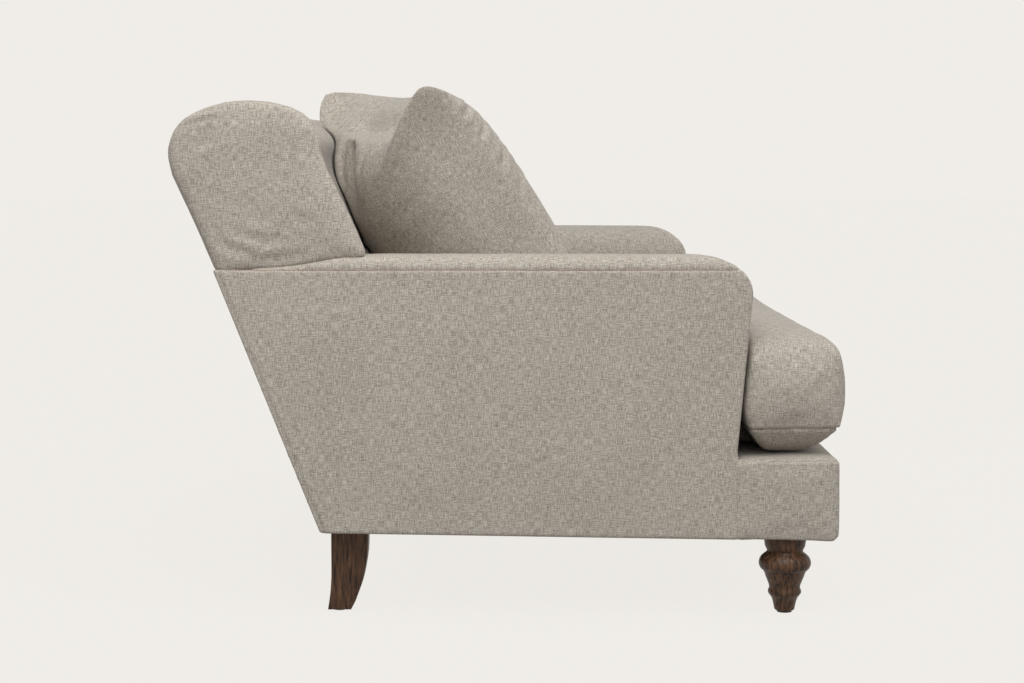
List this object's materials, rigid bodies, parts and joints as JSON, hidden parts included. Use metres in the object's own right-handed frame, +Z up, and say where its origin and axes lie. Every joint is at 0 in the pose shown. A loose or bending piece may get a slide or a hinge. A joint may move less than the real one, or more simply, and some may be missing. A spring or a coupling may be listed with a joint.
{
  "type": "loveseat",
  "caption": "Roll-arm loveseat with a raked plump back, a loose T-shaped seat cushion, a loose scatter cushion, turned front legs and swept rear legs.",
  "frame": {"origin": "on the floor, under the middle of the overall width and depth", "axes": "+X along the width towards the sitter's left-hand arm, +Y towards the raked back, +Z up; the front faces -Y"},
  "size_m": [1.4, 1.0781, 0.8646],
  "materials": {
    "linen_cover": "matt grey-beige woven linen-look upholstery cloth",
    "padding": "open-cell foam and polyester fibre wrap",
    "lining_cloth": "black non-woven lining cloth",
    "webbing": "woven elastic webbing",
    "zip_tape": "woven zip tape with closed coil teeth",
    "frame_hardwood": "planed, kiln-dried beech",
    "board": "hard fibreboard",
    "stained_leg_wood": "dark walnut stain under satin lacquer",
    "zinc_steel": "zinc-plated steel",
    "glide_plastic": "hard nylon"
  },
  "bodies": {
    "frame": {"arm_board_left": "board", "arm_board_right": "board", "arm_cover_left": "linen_cover", "arm_cover_right": "linen_cover", "arm_pad_left": "padding", "arm_pad_right": "padding", "arm_post_left": "frame_hardwood", "arm_post_right": "frame_hardwood", "arm_tack_rail_left": "frame_hardwood", "arm_tack_rail_right": "frame_hardwood", "arm_top_rail_left": "frame_hardwood", "arm_top_rail_right": "frame_hardwood", "arm_wadding_left": "padding", "arm_wadding_right": "padding", "back_centre_post": "frame_hardwood", "back_cover": "linen_cover", "back_cross_webbing": "webbing", "back_pad": "padding", "back_post_left": "frame_hardwood", "back_post_right": "frame_hardwood", "back_seat_rail": "frame_hardwood", "back_top_rail": "frame_hardwood", "back_webbing": "webbing", "centre_rail": "frame_hardwood", "corner_blocks": "frame_hardwood", "dust_cover": "lining_cloth", "front_border_cover": "linen_cover", "front_border_pad": "padding", "front_edge_roll": "padding", "front_legs": "stained_leg_wood", "front_rail": "frame_hardwood", "glides": "glide_plastic", "leg_bolts": "zinc_steel", "leg_plates": "zinc_steel", "outside_arm_panel_left": "linen_cover", "outside_arm_panel_right": "linen_cover", "outside_back_panel": "linen_cover", "outside_back_wadding": "padding", "platform_cloth": "lining_cloth", "platform_pad": "padding", "rear_leg_left": "stained_leg_wood", "rear_leg_right": "stained_leg_wood", "rear_rail": "frame_hardwood", "seat_springs": "zinc_steel", "side_rail_left": "frame_hardwood", "side_rail_right": "frame_hardwood", "spring_clips": "zinc_steel"},
    "seat_cushion": {"seat_cushion_core": "padding", "seat_cushion_cover": "linen_cover", "seat_cushion_zip": "zip_tape"},
    "scatter_cushion": {"scatter_cushion_cover": "linen_cover", "scatter_cushion_inner": "padding"}
  },
  "joints": [
    {"name": "seat_cushion_lift", "type": "slide", "parent": "frame", "child": "seat_cushion", "axis": [0, -0.0896, 0.996], "range_m": [0, 0.12]},
    {"name": "scatter_cushion_lift", "type": "slide", "parent": "seat_cushion", "child": "scatter_cushion", "axis": [0, 0, 1], "range_m": [0, 0.25]}
  ]
}
